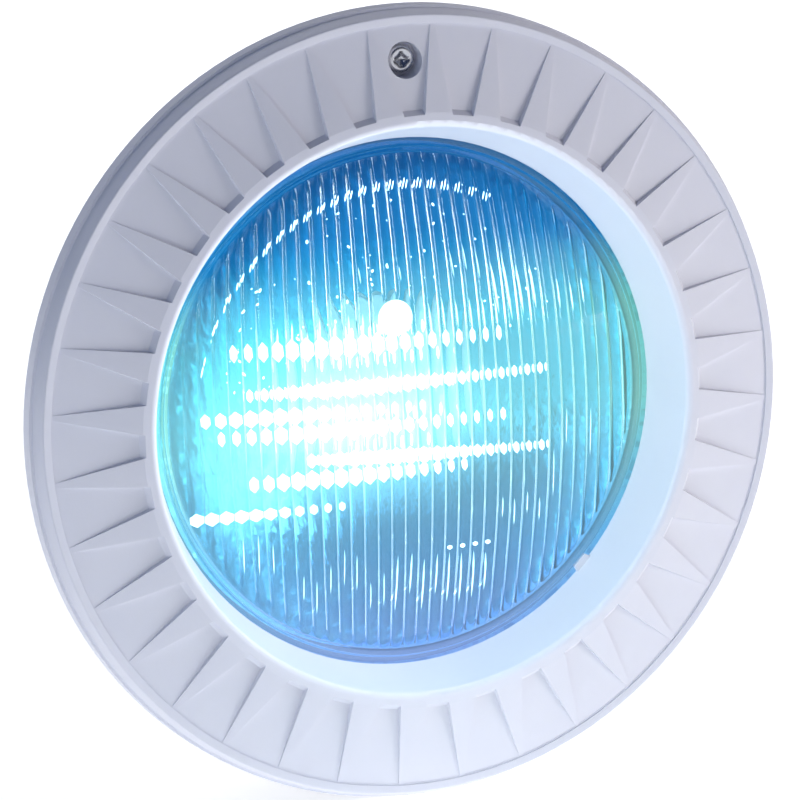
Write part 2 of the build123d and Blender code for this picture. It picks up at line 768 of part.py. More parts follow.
with BuildPart() as led_board:
    rods(centre, board_radius, pad_front_y, board_front_y)
    rods(board_spots, board_screw_radius + through, pad_front_y, board_front_y, mode=Mode.SUBTRACT)
    rods(link_spots, link_pin_radius + slip, pad_front_y, board_front_y, mode=Mode.SUBTRACT)
finish(led_board, "led_board")

with BuildPart() as led_board_screws:
    pan_screws(
        board_spots, board_front_y, board_screw_head_radius, board_screw_head_height, board_screw_radius,
        board_screw_length, forward=False,
    )
finish(led_board_screws, "led_board_screws")

with BuildPart() as led_package:
    with Locations((0, board_front_y - led_base, 0)):
        Sphere(led_dome_radius)
    blocks(
        centre, (2 * led_side, 2 * led_side), board_front_y + led_side, board_front_y - led_base,
        mode=Mode.SUBTRACT,
    )
    blocks(centre, (led_side, led_side), board_front_y, board_front_y - led_base)

with BuildPart() as led_emitters:
    with Locations(*[(x, 0.0, z) for x, z in led_spots]):
        add(led_package.part)
finish(led_emitters, "led_emitters")

# ---------------------------------------------------------------- optics and reflector
with BuildPart() as optic_cell:
    turned(
        [
            (0.0, optic_foot_y),
            (optic_cell_foot, optic_foot_y),
            (optic_cell_radius, optic_plate_y),
            (0.0, optic_plate_y),
        ]
    )

with BuildPart() as optic_array:
    rods(centre, optic_radius, optic_plate_y, optic_plate_y - optic_wall)
    with Locations(*[(x, 0.0, z) for x, z in led_spots]):
        add(optic_cell.part)
    rods(leg_spots, optic_leg_radius, board_front_y, optic_plate_y)
finish(optic_array, "optic_array")

with BuildPart() as reflector:
    with BuildSketch(Plane.XY) as reflector_section:
        with BuildLine():
            throat = (reflector_throat, reflector_throat_y)
            mouth = (reflector_mouth, reflector_mouth_y)
            middle = (
                (throat[0] + mouth[0]) / 2 + reflector_sag,
                (throat[1] + mouth[1]) / 2 + reflector_sag,
            )
            back_throat = (throat[0] + reflector_wall, throat[1] + reflector_wall)
            back_mouth = (mouth[0], mouth[1] + reflector_wall)
            back_middle = (middle[0] + reflector_wall / 2, middle[1] + reflector_wall)
            ThreePointArc(throat, middle, mouth)
            Polyline(
                mouth,
                (reflector_lip_radius, reflector_mouth_y),
                (reflector_lip_radius, reflector_mouth_y + reflector_wall),
                back_mouth,
            )
            ThreePointArc(back_mouth, back_middle, back_throat)
            Polyline(
                back_throat,
                (back_throat[0], board_front_y),
                (throat[0], board_front_y),
                throat,
            )
        make_face()
    revolve(reflector_section.sketch, axis=Axis.Y)
finish(reflector, "reflector")

# ---------------------------------------------------------------- driver board and what is on it
with BuildPart() as driver_board:
    rods(centre, driver_radius, driver_rear_y, driver_front_y)
    rods(standoff_spots, driver_screw_radius + through, driver_rear_y, driver_front_y, mode=Mode.SUBTRACT)
finish(driver_board, "driver_board")

with BuildPart() as driver_standoffs:
    hexagons(standoff_spots, standoff_radius, can_floor_y, driver_rear_y)
    rods(
        standoff_spots, driver_screw_radius + slip, driver_rear_y + standoff_bore_depth, driver_rear_y,
        mode=Mode.SUBTRACT,
    )
finish(driver_standoffs, "driver_standoffs")

with BuildPart() as driver_screws:
    pan_screws(
        standoff_spots, driver_front_y, driver_screw_head_radius, driver_screw_head_height,
        driver_screw_radius, driver_screw_length, forward=False,
    )
finish(driver_screws, "driver_screws")

inductor_rear_y = driver_front_y - winding_wall
inductor_front_y = inductor_rear_y - inductor_height
with BuildPart() as inductor_core:
    rods((inductor_spot,), inductor_outer, inductor_rear_y, inductor_front_y)
    rods((inductor_spot,), inductor_inner, inductor_rear_y, inductor_front_y, mode=Mode.SUBTRACT)
    fillet(edges().filter_by(GeomType.CIRCLE), inductor_round)
finish(inductor_core, "inductor_core")

with BuildPart() as inductor_winding:
    with BuildSketch(across(driver_front_y)) as turns_outline:
        with Locations(inductor_spot):
            with PolarLocations((inductor_inner + inductor_outer) / 2, winding_turns):
                Rectangle(inductor_outer - inductor_inner + 2 * winding_wall, winding_width)
    extrude(turns_outline.sketch, amount=inductor_height + 2 * winding_wall)
    with BuildSketch(across(inductor_rear_y)) as core_outline:
        with Locations(inductor_spot):
            Circle(inductor_outer)
            Circle(inductor_inner, mode=Mode.SUBTRACT)
    extrude(core_outline.sketch, amount=inductor_height, mode=Mode.SUBTRACT)
finish(inductor_winding, "inductor_winding")

with BuildPart() as filter_capacitors:
    rods(capacitor_spots, capacitor_radius, driver_front_y, driver_front_y - capacitor_height)
    fillet(faces().sort_by(Axis.Y)[: len(capacitor_spots)].edges(), capacitor_round)
finish(filter_capacitors, "filter_capacitors")

with BuildPart() as power_transistors:
    blocks(transistor_spots, transistor_size, driver_front_y, driver_front_y - transistor_height)
    chamfer(faces().sort_by(Axis.Y)[: len(transistor_spots)].edges(), transistor_chamfer)
finish(power_transistors, "power_transistors")

with BuildPart() as controller_chip:
    blocks(chip_spot, (chip_side, chip_side), driver_front_y, driver_front_y - chip_height)
    chamfer(faces().sort_by(Axis.Y)[0].edges(), chip_chamfer)
finish(controller_chip, "controller_chip")

with BuildPart() as terminal_block:
    terminal_rear_y = driver_rear_y + terminal_height
    blocks(((0.0, terminal_z),), terminal_size, terminal_rear_y, driver_rear_y)
    rods(
        terminal_spots, terminal_screw_radius + slip, terminal_rear_y,
        terminal_rear_y - terminal_screw_depth, mode=Mode.SUBTRACT,
    )
    with BuildSketch(Plane.XY.offset(terminal_z - terminal_size[1] / 2)) as entry_outline:
        with Locations(*[(x, driver_rear_y + terminal_entry) for x, _ in terminal_spots]):
            Circle(terminal_entry_radius)
    extrude(entry_outline.sketch, amount=terminal_size[1] / 2, mode=Mode.SUBTRACT)
finish(terminal_block, "terminal_block")

with BuildPart() as terminal_screws:
    screw_rear_y = terminal_rear_y - terminal_screw_sunk
    rods(terminal_spots, terminal_screw_radius, screw_rear_y, terminal_rear_y - terminal_screw_depth)
    slot_size = (2 * terminal_screw_radius, terminal_slot_width)
    blocks(
        terminal_spots, slot_size, screw_rear_y, screw_rear_y - terminal_slot_depth, mode=Mode.SUBTRACT
    )
finish(terminal_screws, "terminal_screws")

with BuildPart() as link_socket:
    socket_front_y = driver_front_y - link_socket_height
    blocks(((link_x, 0.0),), link_socket_size, driver_front_y, socket_front_y)
    rods(
        link_spots, link_pin_radius + slip, socket_front_y + link_engagement + blind_extra, socket_front_y,
        mode=Mode.SUBTRACT,
    )
finish(link_socket, "link_socket")

with BuildPart() as link_pins:
    rods(link_spots, link_pin_radius, socket_front_y + link_engagement, board_front_y - link_pin_tip)
finish(link_pins, "link_pins")

# ---------------------------------------------------------------- cord gland
with BuildPart() as gland_body:
    rods(gland_spot, gland_thread_radius, flange_seat_y, can_floor_y - gland_tail)
    hexagons(gland_spot, gland_hex, stub_front_y, flange_seat_y)
    rods(gland_spot, gland_stub_radius, stub_rear_y, stub_front_y)
    rods(gland_spot, gland_bore, stub_rear_y, can_floor_y - gland_tail, mode=Mode.SUBTRACT)
    rods(
        gland_spot, gland_seal_radius + slip, stub_rear_y, stub_rear_y - gland_seal_length + slip,
        mode=Mode.SUBTRACT,
    )
finish(gland_body, "gland_body")

with BuildPart() as gland_oring:
    rods(gland_spot, gland_oring_radius, flange_seat_y, can_rear_y)
    fillet(edges().filter_by(GeomType.CIRCLE), gland_oring_round)
    rods(gland_spot, gland_thread_radius + slip, flange_seat_y, can_rear_y, mode=Mode.SUBTRACT)
finish(gland_oring, "gland_oring")

with BuildPart() as gland_locknut:
    hexagons(gland_spot, gland_hex, can_floor_y, can_floor_y - gland_nut_wall)
    rods(
        gland_spot, gland_thread_radius + slip, can_floor_y, can_floor_y - gland_nut_wall,
        mode=Mode.SUBTRACT,
    )
finish(gland_locknut, "gland_locknut")

with BuildPart() as gland_seal:
    seal_front_y = stub_rear_y - gland_seal_length + slip
    rods(gland_spot, gland_seal_radius, stub_rear_y, seal_front_y)
    rods(gland_spot, gland_seal_bore, stub_rear_y, seal_front_y, mode=Mode.SUBTRACT)
finish(gland_seal, "gland_seal")

with BuildPart() as gland_nut:
    cap_front_y = stub_front_y + gland_cap_clearance
    cap_rear_y = stub_rear_y + gland_cap_end
    cap_corner_radius = gland_hex / cos(radians(30.0)) + slip
    hexagons(gland_spot, gland_hex, cap_rear_y, cap_front_y)
    with BuildSketch(Plane.XY) as cap_section:
        with BuildLine():
            Polyline(
                (0.0, cap_front_y - overcut),
                (cap_corner_radius, cap_front_y - overcut),
                (cap_corner_radius, cap_rear_y - gland_cap_end),
                (gland_hex - gland_cap_round, cap_rear_y),
                (0.0, cap_rear_y),
                close=True,
            )
        make_face()
    cap_envelope = revolve(cap_section.sketch, axis=Axis.Y, mode=Mode.PRIVATE)
    add(Pos(0, 0, gland_z) * cap_envelope, mode=Mode.INTERSECT)
    rods(gland_spot, gland_stub_radius + slip, stub_rear_y + slip, cap_front_y, mode=Mode.SUBTRACT)
    rods(gland_spot, gland_mouth_radius, cap_rear_y, stub_rear_y, mode=Mode.SUBTRACT)
finish(gland_nut, "gland_nut")
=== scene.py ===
"""Looks of the underwater pool light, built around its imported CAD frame."""
import math
import random

import bmesh
import bpy
from mathutils import Matrix, Vector


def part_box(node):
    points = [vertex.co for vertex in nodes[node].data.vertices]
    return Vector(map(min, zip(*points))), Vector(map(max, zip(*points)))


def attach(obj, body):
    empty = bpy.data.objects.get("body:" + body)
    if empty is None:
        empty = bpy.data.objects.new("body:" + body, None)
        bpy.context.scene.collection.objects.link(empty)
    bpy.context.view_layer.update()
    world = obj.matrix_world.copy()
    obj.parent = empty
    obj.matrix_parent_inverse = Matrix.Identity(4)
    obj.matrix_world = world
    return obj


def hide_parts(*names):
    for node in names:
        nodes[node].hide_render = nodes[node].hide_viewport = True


MM = 0.001
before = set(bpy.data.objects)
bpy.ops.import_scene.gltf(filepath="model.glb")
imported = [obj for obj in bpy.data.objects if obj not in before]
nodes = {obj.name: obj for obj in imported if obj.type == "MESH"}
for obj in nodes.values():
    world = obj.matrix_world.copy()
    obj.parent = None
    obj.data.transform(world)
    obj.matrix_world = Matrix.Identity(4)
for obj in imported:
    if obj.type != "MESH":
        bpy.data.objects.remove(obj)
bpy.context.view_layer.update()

# ---------------------------------------------------------------- sizes shared with the CAD, metres
ring_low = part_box("face_ring")[0]
lens_low, lens_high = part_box("lens")
screw_low, screw_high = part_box("pilot_screw")
optic_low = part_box("optic_array")[0]
FRONT_RIM_Y = -12.0 * MM
LENS_RADIUS = lens_high.x
LENS_FRONT_Y = lens_low.y
LENS_REAR_Y = lens_high.y
LENS_RIM_Y = LENS_REAR_Y - 4.0 * MM
CLEAR_RADIUS = 88.2 * MM
DOME_EDGE_RADIUS = 87.4 * MM
FLUTED_RADIUS = 85.0 * MM
LENS_WALL = 3.2 * MM
DOME_EDGE_Y = LENS_RIM_Y - 2.0 * MM
DOME_RISE = DOME_EDGE_Y - LENS_FRONT_Y
DOME_SPHERE = (DOME_EDGE_RADIUS**2 + DOME_RISE**2) / (2 * DOME_RISE)
DOME_AXIS_Y = LENS_FRONT_Y + DOME_SPHERE


# ---------------------------------------------------------------- node helpers
class Shader:
    """A material and short ways to add nodes to it. Patterns use object coordinates, in metres."""

    def __init__(self, name, colour, roughness, metallic=0.0, **sockets):
        self.material = bpy.data.materials.new(name)
        self.material.use_nodes = True
        self.tree = self.material.node_tree
        self.bsdf = self.tree.nodes["Principled BSDF"]
        self.coords = self.tree.nodes.new("ShaderNodeTexCoord").outputs["Object"]
        self.set("Base Color", (*colour, 1.0))
        self.set("Roughness", roughness)
        self.set("Metallic", metallic)
        for socket, value in sockets.items():
            self.set(socket.replace("_", " "), value)
        self.height = None

    def set(self, socket, value):
        self.bsdf.inputs[socket].default_value = value

    def link(self, source, target):
        self.tree.links.new(source, target)

    def put(self, socket, source):
        self.link(source, self.bsdf.inputs[socket])

    def node(self, kind, **inputs):
        made = self.tree.nodes.new("ShaderNode" + kind)
        for key, value in inputs.items():
            socket = made.inputs[key.replace("_", " ")]
            if isinstance(value, bpy.types.NodeSocket):
                self.link(value, socket)
            else:
                socket.default_value = value
        return made

    def math(self, operation, first, second=0.0, third=None, clamp=False):
        made = self.tree.nodes.new("ShaderNodeMath")
        made.operation = operation
        made.use_clamp = clamp
        for i, value in enumerate((first, second, third)):
            if isinstance(value, bpy.types.NodeSocket):
                self.link(value, made.inputs[i])
            elif value is not None:
                made.inputs[i].default_value = value
        return made.outputs[0]

    def stretched(self, scale):
        return self.node("Mapping", Vector=self.coords, Scale=scale).outputs["Vector"]

    def noise(self, scale, detail=3.0, vector=None, roughness=0.5):
        return self.node(
            "TexNoise", Vector=vector or self.coords, Scale=scale, Detail=detail, Roughness=roughness
        ).outputs["Fac"]

    def ramp(self, source, *stops):
        made = self.tree.nodes.new("ShaderNodeValToRGB")
        self.link(source, made.inputs["Fac"])
        points = made.color_ramp.elements
        while len(points) < len(stops):
            points.new(0.5)
        for point, (place, colour) in zip(points, stops):
            point.position = place
            point.color = (*colour, 1.0) if len(colour) == 3 else colour
        return made.outputs["Color"]

    def between(self, source, low, high, to_low, to_high):
        return self.node(
            "MapRange", Value=source, From_Min=low, From_Max=high, To_Min=to_low, To_Max=to_high
        ).outputs["Result"]

    def mix(self, factor, first, second):
        made = self.tree.nodes.new("ShaderNodeMix")
        made.data_type = "RGBA"
        for key, value in ((0, factor), (6, first), (7, second)):
            if isinstance(value, bpy.types.NodeSocket):
                self.link(value, made.inputs[key])
            else:
                made.inputs[key].default_value = value if key == 0 else (*value, 1.0)
        return made.outputs[2]

    def bump(self, source, distance, strength=1.0):
        made = self.node("Bump", Height=source, Distance=distance, Strength=strength)
        if self.height is not None:
            self.link(self.height, made.inputs["Normal"])
        self.height = made.outputs["Normal"]
        self.put("Normal", self.height)

    def mottle(self, first, second, scale, detail=3.0):
        self.put("Base Color", self.mix(self.noise(scale, detail), first, second))

    def vary_roughness(self, scale, low, high, detail=4.0):
        self.put("Roughness", self.between(self.noise(scale, detail), 0.3, 0.7, low, high))


def plastic(name, colour, shade, roughness, grain=2600.0, depth=0.00002, spread=0.06, **sockets):
    """Moulded plastic: faint flow mottling, spark-eroded grain and uneven gloss."""
    made = Shader(name, colour, roughness, **sockets)
    made.mottle(colour, shade, 38.0)
    made.vary_roughness(90.0, roughness - spread, roughness + spread)
    made.bump(made.noise(grain, 2.0), depth)
    made.bump(made.noise(60.0, 2.0), depth * 3)
    return made


def metal(name, colour, shade, roughness, grain, depth=0.00001, spread=0.08):
    """Worked metal: fine drawn or turned lines, stains and uneven gloss."""
    made = Shader(name, colour, roughness, metallic=1.0)
    made.mottle(colour, shade, 260.0)
    made.vary_roughness(420.0, roughness - spread, roughness + spread)
    made.bump(made.noise(1.0, 3.0, vector=made.stretched(grain)), depth)
    return made


def rubber(name, colour, shade):
    made = Shader(name, colour, 0.72)
    made.mottle(colour, shade, 150.0)
    made.vary_roughness(500.0, 0.6, 0.85)
    made.bump(made.noise(3200.0, 2.0), 0.00003)
    return made


# ---------------------------------------------------------------- materials
ring_white = plastic("ring_white", (0.80, 0.80, 0.86), (0.76, 0.77, 0.84), 0.36, grain=1800.0)
ring_white.set("Subsurface Weight", 0.12)
ring_white.set("Subsurface Radius", (0.004, 0.004, 0.005))
ring_white.set("Subsurface Scale", 1.0)

housing_plastic = plastic(
    "housing_plastic", (0.030, 0.033, 0.038), (0.022, 0.024, 0.028), 0.55, grain=1500.0, depth=0.00006
)
gland_plastic = plastic(
    "gland_plastic", (0.024, 0.024, 0.028), (0.034, 0.034, 0.038), 0.42, grain=2200.0, depth=0.00003
)
seal_rubber = rubber("seal_rubber", (0.022, 0.022, 0.024), (0.034, 0.034, 0.036))
gasket_silicone = rubber("gasket_silicone", (0.40, 0.52, 0.58), (0.46, 0.57, 0.62))
thermal_pad = rubber("thermal_pad", (0.26, 0.34, 0.40), (0.30, 0.38, 0.43))
stainless = metal("stainless", (0.62, 0.62, 0.64), (0.50, 0.51, 0.54), 0.24, (300.0, 300.0, 9000.0))
sink_aluminium = metal(
    "sink_aluminium", (0.66, 0.67, 0.69), (0.58, 0.59, 0.62), 0.34, (6000.0, 200.0, 200.0)
)
capacitor_can = metal("capacitor_can", (0.50, 0.52, 0.57), (0.44, 0.46, 0.51), 0.3, (400.0, 5000.0, 400.0))
standoff_brass = metal(
    "standoff_brass", (0.62, 0.43, 0.16), (0.52, 0.35, 0.12), 0.28, (300.0, 8000.0, 300.0)
)
copper_wire = metal("copper_wire", (0.48, 0.16, 0.06), (0.38, 0.11, 0.04), 0.26, (9000.0, 200.0, 9000.0))
board_white = plastic("board_white", (0.80, 0.82, 0.80), (0.74, 0.76, 0.75), 0.4, grain=5200.0)
board_green = plastic("board_green", (0.012, 0.10, 0.04), (0.009, 0.075, 0.03), 0.34, grain=5200.0)
ferrite = plastic("ferrite", (0.02, 0.02, 0.022), (0.03, 0.03, 0.033), 0.6, grain=4200.0, depth=0.00003)
component_black = plastic("component_black", (0.012, 0.012, 0.013), (0.02, 0.02, 0.021), 0.45, grain=6000.0)
terminal_green = plastic("terminal_green", (0.02, 0.17, 0.06), (0.015, 0.14, 0.05), 0.42, grain=3600.0)


def height_ramp(shader, low, high, *stops):
    """Colours by the height on the object, from low to high in metres."""
    parts = shader.node("SeparateXYZ", Vector=shader.coords)
    return shader.ramp(shader.between(parts.outputs["Z"], low, high, 0.0, 1.0), *stops)


def lit_reflector():
    """Plating whose base colour and emission are painted LED light in blue and cyan, painted darker towards
    the top.
    """
    made = Shader("reflector_bright", (0.07, 0.36, 0.56), 0.16, metallic=0.9)
    made.vary_roughness(300.0, 0.10, 0.26)
    made.bump(made.noise(120.0, 2.0), 0.0008)
    # Base colour: painted LED light, blue below and painted shade towards the top.
    painted_light_by_height = height_ramp(
        made, -0.085, 0.085,
        (0.0, (0.16, 0.34, 0.60)), (0.45, (0.10, 0.46, 0.56)), (0.62, (0.06, 0.38, 0.50)),
        (0.82, (0.012, 0.13, 0.30)), (1.0, (0.008, 0.08, 0.22)),
    )
    made.put("Base Color", painted_light_by_height)
    # Emission: a painted glow of the LEDs' light, dimmer towards the top.
    glow = height_ramp(
        made, -0.085, 0.085,
        (0.0, (0.16, 0.30, 0.62)), (0.22, (0.10, 0.40, 0.66)), (0.45, (0.13, 0.52, 0.56)),
        (0.62, (0.09, 0.50, 0.56)), (0.80, (0.010, 0.26, 0.52)), (1.0, (0.004, 0.15, 0.40)),
    )
    made.put("Emission Color", glow)
    made.set("Emission Strength", 0.13)
    return made


reflector_bright = lit_reflector()

# Clear optics over the LEDs, with a painted cyan glow of the LEDs' light all over them.
optic_clear = Shader("optic_clear", (0.85, 0.95, 1.0), 0.05, Transmission_Weight=0.7, IOR=1.49)
optic_clear.bump(optic_clear.noise(900.0, 2.0), 0.00002)
optic_clear.set("Emission Color", (0.35, 0.85, 1.0, 1.0))
optic_clear.set("Emission Strength", 0.12)

led_package = Shader("led_package", (0.95, 0.97, 1.0), 0.3)
led_package.mottle((0.95, 0.97, 1.0), (0.85, 0.93, 1.0), 1500.0)
led_package.set("Emission Color", (0.45, 0.90, 1.0, 1.0))
led_package.set("Emission Strength", 0.8)

# Painted glow for the pips on the optics: they shine as images of their LEDs, though they are no lamps.
painted_led_glow = Shader("painted_led_glow", (0.95, 0.98, 1.0), 0.2)
painted_led_glow.mottle((0.95, 0.98, 1.0), (0.88, 0.95, 1.0), 1200.0)
painted_led_glow.set("Emission Color", (0.60, 0.95, 0.94, 1.0))
painted_led_glow.set("Emission Strength", 2.6)

# Painted glow on the lens: a faint even field, brighter at the rim and in a painted burst of light round the
# LEDs.
RIM_GLOW_START, RIM_GLOW_FULL = 84.8 * MM, 86.2 * MM
PAINTED_FIELD_GLOW, PAINTED_RIM_GLOW, PAINTED_BURST_GLOW = 0.12, 0.30, 0.70
BURST_REACH = 62.0 * MM
BURST_FALLOFF = 1.8


def lit_lens():
    """Clear polycarbonate with a painted glow for the light that its flutes scatter round the LEDs and at
    its rim: coloured by height, brighter at the rim and in a painted burst.
    """
    made = Shader("lens_clear", (0.70, 0.90, 0.97), 0.02, Transmission_Weight=1.0, IOR=1.52)
    made.bump(made.noise(240.0, 2.0), 0.00001)
    painted_glow_by_height = height_ramp(
        made, -0.088, 0.088,
        (0.0, (0.34, 0.50, 1.0)), (0.20, (0.20, 0.55, 0.90)), (0.45, (0.32, 0.78, 0.70)),
        (0.65, (0.24, 0.70, 0.62)), (0.80, (0.006, 0.22, 0.54)), (1.0, (0.004, 0.12, 0.36)),
    )
    made.put("Emission Color", painted_glow_by_height)
    flat = made.node("VectorMath", Vector=made.coords)
    flat.operation = "MULTIPLY"
    flat.inputs[1].default_value = (1.0, 0.0, 1.0)
    from_axis = made.node("VectorMath", Vector=flat.outputs["Vector"])
    from_axis.operation = "LENGTH"
    rim_share = made.between(from_axis.outputs["Value"], RIM_GLOW_START, RIM_GLOW_FULL, 0.0, 1.0)
    painted_rim_glow = made.between(rim_share, 0.0, 1.0, PAINTED_FIELD_GLOW, PAINTED_RIM_GLOW)
    burst = made.node(
        "Mapping", Vector=flat.outputs["Vector"], Location=(0.020, 0.0, 0.006), Scale=(0.85, 1.0, 1.55)
    )
    from_burst = made.node("VectorMath", Vector=burst.outputs["Vector"])
    from_burst.operation = "LENGTH"
    painted_burst_glow = made.between(from_burst.outputs["Value"], BURST_REACH, 0.0, 0.0, 1.0)
    painted_burst_glow = made.math("POWER", painted_burst_glow, BURST_FALLOFF)
    made.put("Emission Strength", made.math("MULTIPLY_ADD", painted_burst_glow, PAINTED_BURST_GLOW, painted_rim_glow))
    return made


lens_clear = lit_lens()

# Painted glints: the arc dashes and specks glow as painted highlights in the lens.
painted_glint = Shader("lens_painted_glint", (0.9, 0.97, 1.0), 0.05, Transmission_Weight=0.6, IOR=1.52)
painted_glint.bump(painted_glint.noise(900.0, 2.0), 0.00002)
painted_glint.set("Emission Color", (0.75, 0.95, 1.0, 1.0))
painted_glint.set("Emission Strength", 2.2)

# Painted streaks: slivers along the flutes that glow as painted light.
painted_streak = Shader("lens_painted_streak", (0.9, 0.97, 1.0), 0.1, Transmission_Weight=0.6, IOR=1.52)
painted_streak.bump(painted_streak.noise(900.0, 2.0), 0.00002)
painted_streak.set("Emission Color", (0.60, 0.92, 1.0, 1.0))
painted_streak.set("Emission Strength", 1.1)

# Painted LED images: the rows of prisms and the round boss glow as the images that the flutes make of the
# LEDs.
painted_led_image = Shader("painted_led_image", (0.95, 0.99, 1.0), 0.1, Transmission_Weight=0.3, IOR=1.52)
painted_led_image.mottle((0.95, 0.99, 1.0), (0.88, 0.97, 1.0), 700.0)
painted_led_image.put("Emission Color", painted_led_image.mix(painted_led_image.noise(60.0), (0.72, 0.97, 1.0), (0.95, 1.0, 1.0)))
painted_led_image.set("Emission Strength", 1.5)

SLOT_LOOKS = {
    "ring_white": ring_white,
    "lens_clear": lens_clear,
    "seal_rubber": seal_rubber,
    "gasket_silicone": gasket_silicone,
    "housing_plastic": housing_plastic,
    "stainless": stainless,
    "board_white": board_white,
    "led_package": led_package,
    "optic_clear": optic_clear,
    "reflector_bright": reflector_bright,
    "sink_aluminium": sink_aluminium,
    "thermal_pad": thermal_pad,
    "board_green": board_green,
    "standoff_brass": standoff_brass,
    "ferrite": ferrite,
    "copper_wire": copper_wire,
    "capacitor_can": capacitor_can,
    "component_black": component_black,
    "terminal_green": terminal_green,
    "gland_plastic": gland_plastic,
}
NODE_SLOTS = {
    "face_ring": "ring_white",
    "pilot_screw": "stainless",
    "pilot_screw_washer": "seal_rubber",
    "niche_hook": "stainless",
    "hook_screws": "stainless",
    "lens": "lens_clear",
    "lens_gasket": "gasket_silicone",
    "rear_housing": "housing_plastic",
    "ring_screws": "stainless",
    "heat_sink": "sink_aluminium",
    "heat_sink_screws": "stainless",
    "thermal_pad": "thermal_pad",
    "led_board": "board_white",
    "led_board_screws": "stainless",
    "led_emitters": "led_package",
    "optic_array": "optic_clear",
    "reflector": "reflector_bright",
    "driver_board": "board_green",
    "driver_standoffs": "standoff_brass",
    "driver_screws": "stainless",
    "inductor_core": "ferrite",
    "inductor_winding": "copper_wire",
    "filter_capacitors": "capacitor_can",
    "power_transistors": "component_black",
    "controller_chip": "component_black",
    "terminal_block": "terminal_green",
    "terminal_screws": "stainless",
    "link_socket": "component_black",
    "link_pins": "standoff_brass",
    "gland_body": "gland_plastic",
    "gland_oring": "seal_rubber",
    "gland_locknut": "gland_plastic",
    "gland_seal": "seal_rubber",
    "gland_nut": "gland_plastic",
}
for name, slot in NODE_SLOTS.items():
    piece = nodes[name]
    piece.data.materials.clear()
    piece.data.materials.append(SLOT_LOOKS[slot].material)


# ---------------------------------------------------------------- mesh helpers
def new_piece(name, vertices, faces, look, body="light", smooth=True, sharp=40.0):
    mesh = bpy.data.meshes.new(name)
    mesh.from_pydata(vertices, [], faces)
    mesh.validate()
    mesh.update()
    if smooth:
        mesh.shade_smooth()
        mesh.set_sharp_from_angle(angle=math.radians(sharp))
    piece = bpy.data.objects.new(name, mesh)
    bpy.context.scene.collection.objects.link(piece)
    mesh.materials.append(look.material)
    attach(piece, body)
    return piece


def sphere_y(sphere, radius):
    return DOME_AXIS_Y - math.sqrt(sphere**2 - radius**2)


def smooth_step(low, high, value):
    t = min(1.0, max(0.0, (value - low) / (high - low)))
    return t * t * (3 - 2 * t)


# ---------------------------------------------------------------- fluted lens
FLUTE_PITCH = 5.0 * MM
FLUTE_DEPTH = 0.75 * MM
FLUTE_SLOPE = 33.0          # degrees, where two flutes meet
FLUTE_STEPS = 10
FLUTE_GATHER = 0.12         # the flutes converge by this share towards the top and bottom
LENS_ROWS = 72
EDGE_INSET = 0.35 * MM
LENS_BEVEL = 0.35 * MM
DOME_LOOPS = 16
WINDOW = Vector((-5.6 * MM, 0.0, 31.0 * MM))   # plain round window over one LED
WINDOW_RADIUS = 6.2 * MM


def flute_rise(u):
    """Height of a flute above its valleys, by the place across the flutes. 0 to 1."""
    half = FLUTE_PITCH / 2
    offset = (u / FLUTE_PITCH) % 1.0 * FLUTE_PITCH - half
    bend = half / math.sin(math.radians(FLUTE_SLOPE))
    low = math.sqrt(bend**2 - half**2)
    return (math.sqrt(bend**2 - offset**2) - low) / (bend - low)


def flute_x(u, z):
    return u * (1.0 - FLUTE_GATHER * (z / CLEAR_RADIUS) ** 2)


def column_reach(u):
    """Height at which a flute line meets the edge of the fluted field."""
    low, high = 0.0, FLUTED_RADIUS
    for _ in range(40):
        middle = (low + high) / 2
        if math.hypot(flute_x(u, middle), middle) < FLUTED_RADIUS:
            low = middle
        else:
            high = middle
    return low


def inner_face(x, z, rise):
    radius = min(math.hypot(x, z), FLUTED_RADIUS)
    fade = 1.0 - smooth_step(FLUTED_RADIUS - 2.2 * MM, FLUTED_RADIUS - 0.3 * MM, radius)
    window = math.hypot(x - WINDOW.x, z - WINDOW.z)
    fade *= smooth_step(WINDOW_RADIUS - 0.4 * MM, WINDOW_RADIUS + 0.5 * MM, window)
    return sphere_y(DOME_SPHERE - LENS_WALL, radius) + FLUTE_DEPTH * (rise - 0.5) * fade


